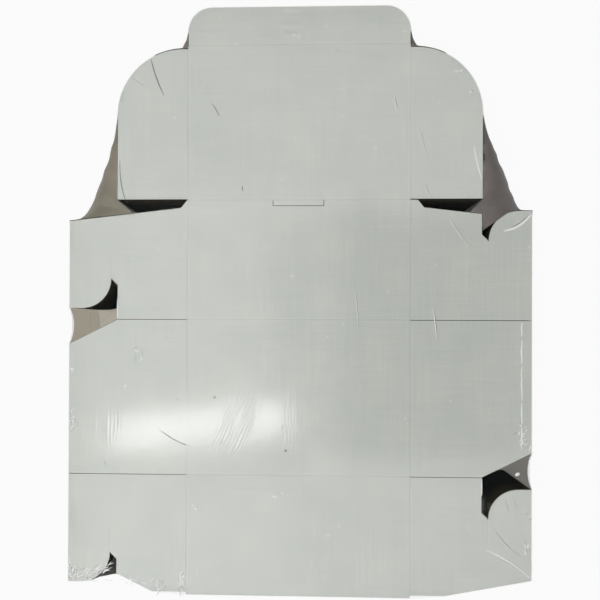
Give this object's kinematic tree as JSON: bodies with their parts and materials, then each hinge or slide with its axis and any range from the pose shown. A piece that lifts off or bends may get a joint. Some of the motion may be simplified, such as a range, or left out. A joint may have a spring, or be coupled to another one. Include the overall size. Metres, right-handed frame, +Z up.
{
  "type": "shrink-wrapped pack of flat cake boxes",
  "caption": "Clear film pack of flat die-cut cake box blanks in white board, stacked square, with locking ears, side flaps and a winged tuck lid.",
  "frame": {"origin": "centre of the pack's bounding box, on the surface it lies on", "axes": "+Z up through the stack, +Y towards the lid's tuck flap, +X to the right of the blanks seen from above"},
  "size_m": [0.4472, 0.5702, 0.0606],
  "materials": {
    "film": "clear shrink film, tight and glossy",
    "board": "white coated folding board, matt"
  },
  "bodies": {
    "root": {"shrink_film": "film", "top_blank": "board", "blanks_01": "board", "blanks_02": "board", "blanks_03": "board", "blanks_04": "board", "blanks_05": "board", "blanks_06": "board", "blanks_07": "board", "blanks_08": "board", "blanks_09": "board", "blanks_10": "board", "blanks_11": "board", "blanks_12": "board", "blanks_13": "board", "blanks_14": "board", "blanks_15": "board", "blanks_16": "board", "blanks_17": "board", "blanks_18": "board", "blanks_19": "board", "blanks_20": "board", "blanks_21": "board", "blanks_22": "board", "blanks_23": "board", "blanks_24": "board", "blanks_25": "board", "blanks_26": "board", "blanks_27": "board", "blanks_28": "board", "blanks_29": "board", "blanks_30": "board", "blanks_31": "board", "blanks_32": "board", "blanks_33": "board", "blanks_34": "board", "blanks_35": "board", "blanks_36": "board", "blanks_37": "board", "blanks_38": "board", "blanks_39": "board", "blanks_40": "board", "blanks_41": "board", "blanks_42": "board", "blanks_43": "board", "blanks_44": "board", "blanks_45": "board", "blanks_46": "board", "blanks_47": "board", "blanks_48": "board", "blanks_49": "board", "bottom_blank": "board"}
  },
  "joints": []
}
